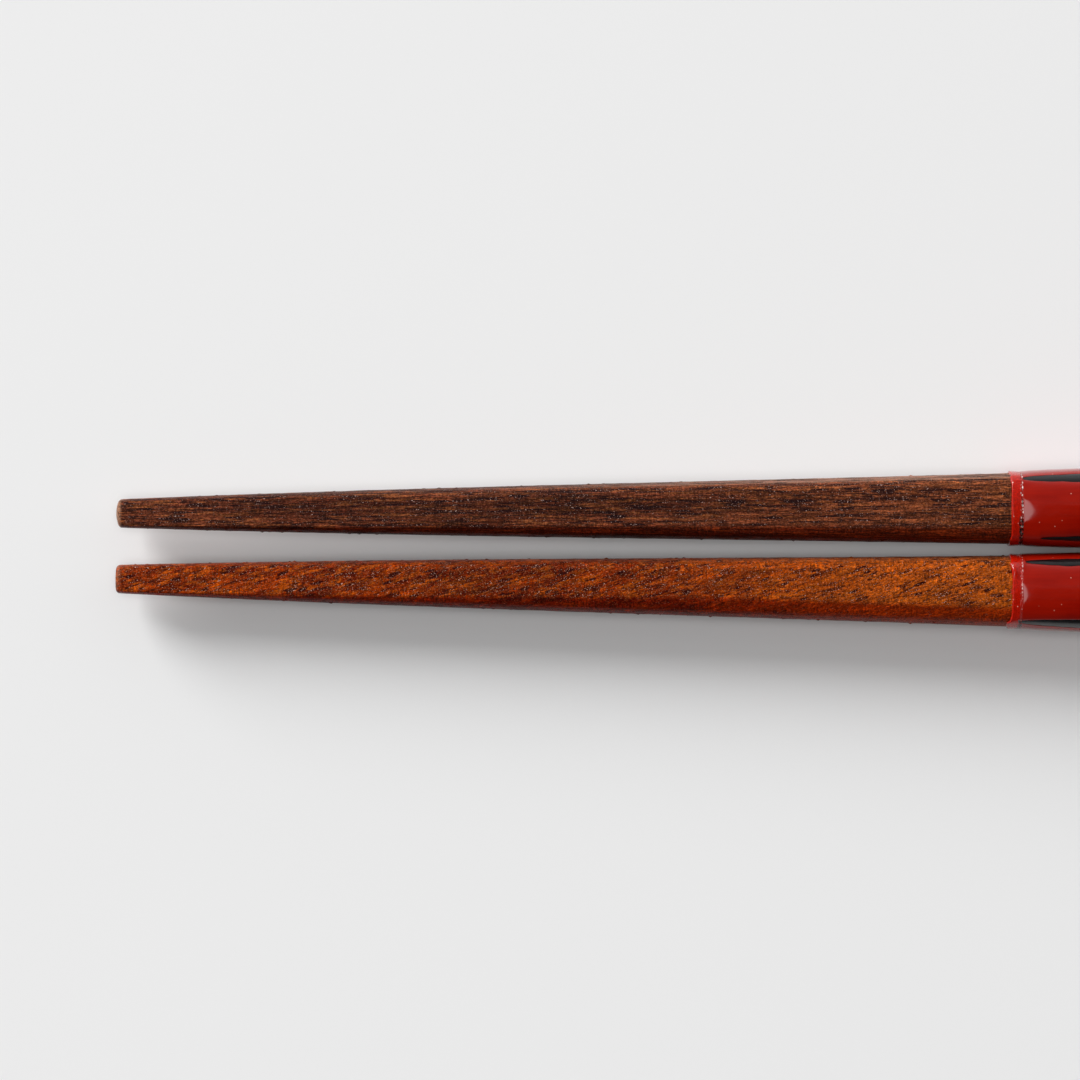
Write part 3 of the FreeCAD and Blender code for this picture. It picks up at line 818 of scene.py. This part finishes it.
def red_material(stick, look):
    """Red lacquer, brushed and cured hard: glossy, faint brush lines, dust nibs, a bright bead.

    Along the ragged back of the bead small bubbles have burst: dark pits on the near side,
    and bright rims towards the far side, which are painted highlights. The dust nibs are small
    bumps painted pale as their highlights, and the sparkles on the bead are painted highlights.
    """
    material = bpy.data.materials.new(f"{stick}_red_lacquer_gloss")
    material.use_nodes = True
    tree = material.node_tree
    surface = tree.nodes["Principled BSDF"]
    place = add(tree, "ShaderNodeAttribute", attribute_name="stick_mm")
    split = add(tree, "ShaderNodeSeparateXYZ", {0: place.outputs["Vector"]})
    station, across = split.outputs[0], split.outputs[1]
    cloud = noise(tree, (6, 3, 3), seed=2.0, detail=3.0)
    brush = noise(tree, (7, 0.3, 0.3), seed=4.0, detail=3.0)
    tone = blend(tree, between(tree, cloud, 0.35, 0.65), colour("#860D03"), colour("#911204"))
    tone = shaded(tree, tone, brush, 0.35, 0.65, 0.93, 1.07)
    grit = noise(tree, (0.16, 0.16, 0.16), seed=6.0, detail=3.0, roughness=0.7)
    ragged = add(tree, "ShaderNodeMath", {0: grit, 1: 0.30, 2: station},
                 operation="MULTIPLY_ADD").outputs[0]
    on_bead = between(tree, ragged, GROOVE_AT + 0.20, GROOVE_AT + 0.08)
    grained = shaded(tree, colour("#A81404")[:3], grit, 0.38, 0.62, 0.68, 1.32)
    tone = blend(tree, on_bead, tone, grained)
    rim_band = add(tree, "ShaderNodeMath", {0: station, 1: GROOVE_AT + RIM_BAND[0],
                                            2: RIM_BAND[1]}, operation="COMPARE").outputs[0]
    pit_side = between(tree, across, look["pits_from"], look["pits_to"])
    hole = between(tree, noise(tree, (0.14, 0.22, 0.22), seed=8.0, detail=1.0), 0.44, 0.50)
    pit_band = add(tree, "ShaderNodeMath", {0: station, 1: GROOVE_AT + PIT_BAND[0],
                                            2: PIT_BAND[1]}, operation="COMPARE").outputs[0]
    hole = maths(tree, "MULTIPLY", maths(tree, "MULTIPLY", hole, pit_band), pit_side)
    tone = blend(tree, hole, tone, colour("#1A0503"))
    # Dust nibs: small bumps, painted pale as their highlights.
    nib = specks(tree, (0.8, 0.8, 0.8), share=0.25, radius=0.11)
    tone = blend(tree, maths(tree, "MULTIPLY", nib, 0.6), tone, colour("#D8907C"))
    # Painted highlights on the rims of burst bubbles, towards the far side.
    glint_side = between(tree, across, look["glints_from"], look["glints_to"])
    bubbles = specks(tree, (0.24, 0.30, 0.30), share=0.75, radius=0.5)
    rim = maths(tree, "MULTIPLY", rim_band, maths(tree, "MULTIPLY", glint_side, bubbles))
    tone = blend(tree, maths(tree, "MULTIPLY", rim, look["glint_share"]), tone, colour("#F2E2DA"))
    # Painted highlights: pale sparkles on the bead.
    drops = specks(tree, (0.45, 0.45, 0.45), share=0.35, radius=0.22)
    drops = maths(tree, "MULTIPLY", on_bead, drops)
    tone = blend(tree, maths(tree, "MULTIPLY", drops, 0.7), tone, colour("#F0C8B8"))
    rough_band = maths(tree, "MAXIMUM", maths(tree, "MULTIPLY", on_bead, look["bead_grit"]),
                       maths(tree, "MULTIPLY", rim_band, 1.2))
    height = maths(tree, "ADD", maths(tree, "MULTIPLY", grit, rough_band),
                   maths(tree, "MULTIPLY", nib, 0.2))
    height = maths(tree, "SUBTRACT", height, hole)
    bump = add(tree, "ShaderNodeBump", {"Height": height, "Strength": 1.0, "Distance": 0.0001})
    tree.links.new(tone, surface.inputs["Base Color"])
    tree.links.new(bump.outputs[0], surface.inputs["Normal"])
    rough = add(tree, "ShaderNodeMapRange", {"Value": on_bead, "To Min": 0.08,
                                             "To Max": 0.10}).outputs[0]
    tree.links.new(rough, surface.inputs["Roughness"])
    surface.inputs["IOR"].default_value = 1.5
    return material


# pits and glints run from nothing at one place across the stick, in mm, to their full strength
# at another. bead_grit and glint_share are strengths.
RED_LOOKS = {
    "dark": {"bead_grit": 0.15, "pits_from": -0.6, "pits_to": -1.4, "glints_from": -2.8,
             "glints_to": -1.0, "glint_share": 1.0},
    "amber": {"bead_grit": 0.12, "pits_from": -2.6, "pits_to": -3.0, "glints_from": -2.0,
              "glints_to": 1.0, "glint_share": 0.35},
}
for seed, stick in enumerate(SIDE):
    topcoat = make_red(stick, seed=100 * seed + 71)
    topcoat.data.materials.append(red_material(stick, RED_LOOKS[stick]))
    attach(topcoat, "root")
    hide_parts(f"{stick}_stick_red_lacquer")


# The surface that the pair lies on: plain, pale and matt, and far wider than the view.
# It takes the sticks' shadow and isn't part of the object.

FLOOR_HALF = 1.5
floor_mesh = bpy.data.meshes.new("floor")
corners = [(-FLOOR_HALF, -FLOOR_HALF, 0), (FLOOR_HALF, -FLOOR_HALF, 0),
           (FLOOR_HALF, FLOOR_HALF, 0), (-FLOOR_HALF, FLOOR_HALF, 0)]
floor_mesh.from_pydata(corners, [], [(0, 1, 2, 3)])
floor = bpy.data.objects.new("floor", floor_mesh)
bpy.context.collection.objects.link(floor)
matt_white = bpy.data.materials.new("matt_white_table")
matt_white.use_nodes = True
matt_surface = matt_white.node_tree.nodes["Principled BSDF"]
matt_surface.inputs["Base Color"].default_value = colour("#EDEDED")
matt_surface.inputs["Roughness"].default_value = 0.9
matt_surface.inputs["Specular IOR Level"].default_value = 0.2
floor_mesh.materials.append(matt_white)


# Light: a broad window rather low over the far side and the tips, a lamp nearly overhead that
# the lacquer mirrors behind its groove, and a bounce board that lights the sticks and isn't
# mirrored. The camera sees none of them. Round them is a dim room, paler on the far side.


def lamp(name, place, width, depth, radiance, target=None):
    """An elliptical area lamp that looks straight down, or at a target where one is given.

    Its power in watts is the radiance times pi times its area.
    """
    data = bpy.data.lights.new(name, "AREA")
    data.shape = "ELLIPSE"
    data.size = width
    data.size_y = depth
    data.energy = radiance * np.pi * np.pi / 4 * width * depth
    fitting = bpy.data.objects.new(name, data)
    bpy.context.collection.objects.link(fitting)
    fitting.location = place
    fitting.visible_camera = False
    if target is not None:
        gaze = Vector(target) - Vector(place)
        fitting.rotation_euler = gaze.to_track_quat("-Z", "Y").to_euler()
    return fitting


VIEW_X = -0.0700
WINDOW_AWAY = 4.0
WINDOW_WIDTH = 2.25
WINDOW_RADIANCE = 14.8
OVERHEAD_AT = (-0.44, -0.15, 2.5)
OVERHEAD_SIZE = (0.64, 1.44)
OVERHEAD_RADIANCE = 3.2
BOARD_HEIGHT = 1.5
BOARD_WIDTH = 0.7
BOARD_RADIANCE = 4.2
window_at = (VIEW_X - 0.64 * WINDOW_AWAY, 0.64 * WINDOW_AWAY, 0.42 * WINDOW_AWAY)
lamp("window", window_at, WINDOW_WIDTH, WINDOW_WIDTH, WINDOW_RADIANCE, target=(VIEW_X, 0, 0))
lamp("overhead", OVERHEAD_AT, *OVERHEAD_SIZE, OVERHEAD_RADIANCE)
board = lamp("bounce_board", (VIEW_X, 0, BOARD_HEIGHT), BOARD_WIDTH, BOARD_WIDTH, BOARD_RADIANCE)
board.visible_glossy = False

# The room's level is (1 - |z|)^1.5 of the direction, so it is brightest at the horizon, times
# NEAR_LEVEL on the near side and FAR_LEVEL on the far side. The far half of the ceiling adds
# CEILING_LEVEL. What the camera itself sees past the floor is a plain pale backdrop.
HORIZON_POWER = 1.5
NEAR_LEVEL = 0.15
FAR_LEVEL = 1.1
CEILING_LEVEL = 0.12
BACKDROP_LEVEL = 0.82
world = bpy.data.worlds.new("room")
world.use_nodes = True
bpy.context.scene.world = world
room = world.node_tree
direction = add(room, "ShaderNodeTexCoord").outputs["Generated"]
split = add(room, "ShaderNodeSeparateXYZ", {0: direction})
low = maths(room, "SUBTRACT", 1.0, maths(room, "ABSOLUTE", split.outputs[2]))
low = maths(room, "POWER", low, HORIZON_POWER)
far = add(room, "ShaderNodeMapRange", {"Value": split.outputs[1], "From Min": -0.15,
                                       "From Max": 0.15, "To Min": NEAR_LEVEL,
                                       "To Max": FAR_LEVEL}).outputs[0]
ceiling = maths(room, "MULTIPLY", between(room, split.outputs[1], 0.065, 0.105), CEILING_LEVEL)
level = add(room, "ShaderNodeMath", {0: low, 1: far, 2: ceiling},
            operation="MULTIPLY_ADD").outputs[0]
seen = add(room, "ShaderNodeLightPath").outputs["Is Camera Ray"]
level = add(room, "ShaderNodeMix", {0: seen, 2: level, 3: BACKDROP_LEVEL}).outputs[0]
room.links.new(level, room.nodes["Background"].inputs["Strength"])
room.nodes["Background"].inputs["Color"].default_value = (1, 1, 1, 1)


# The camera looks straight down from half a metre above the sticks. Its frame is 108 mm wide, so
# the tips stand near its left edge and the handles leave it at the right.

FRAME_WIDTH = 0.108
LENS = 500 / 3
SENSOR = 36.0
STICK_TOP = 0.005
VIEW_Y = 0.0008
VIEW_ROLL = 0.004
camera_data = bpy.data.cameras.new("camera")
camera_data.lens = LENS
camera_data.sensor_width = SENSOR
camera = bpy.data.objects.new("camera", camera_data)
bpy.context.collection.objects.link(camera)
camera.location = (VIEW_X, VIEW_Y, STICK_TOP + FRAME_WIDTH * LENS / SENSOR)
camera.rotation_euler = (0, 0, VIEW_ROLL)
bpy.context.scene.camera = camera
bpy.context.scene.view_settings.view_transform = "Standard"
